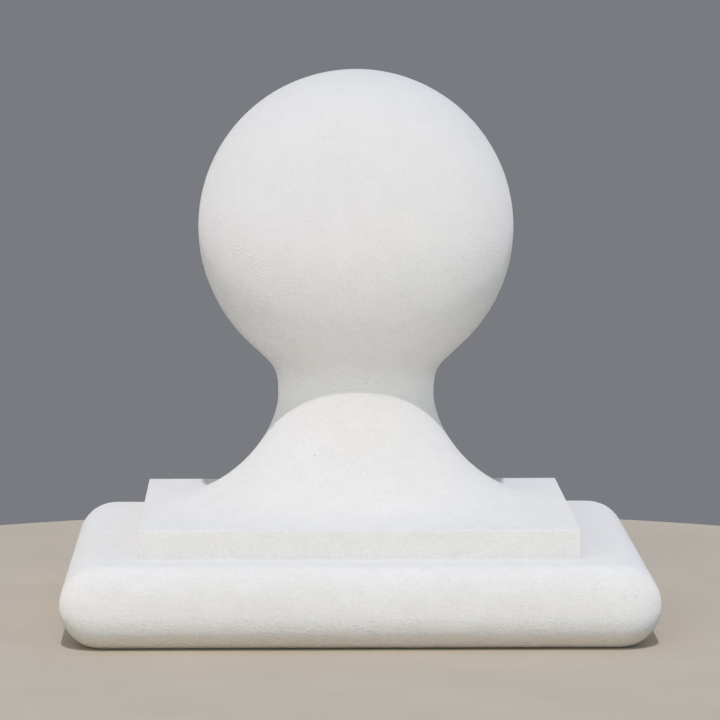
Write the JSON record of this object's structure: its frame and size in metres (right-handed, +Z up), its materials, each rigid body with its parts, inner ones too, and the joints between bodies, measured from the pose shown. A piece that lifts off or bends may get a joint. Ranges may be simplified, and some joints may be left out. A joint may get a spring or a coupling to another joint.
{
  "type": "pier cap with ball",
  "caption": "Square cast stone pier cap with half-round slab edges, a square step and a ball on a flared round neck.",
  "frame": {"origin": "middle of the flat underside, which lies on top of the pier", "axes": "+Z up through the ball; X and Y square to the sides of the slab, which are all alike"},
  "size_m": [0.457, 0.457, 0.4316],
  "materials": {
    "cast_stone": "matte"
  },
  "bodies": {
    "root": {"pier_cap": "cast_stone"}
  },
  "joints": []
}
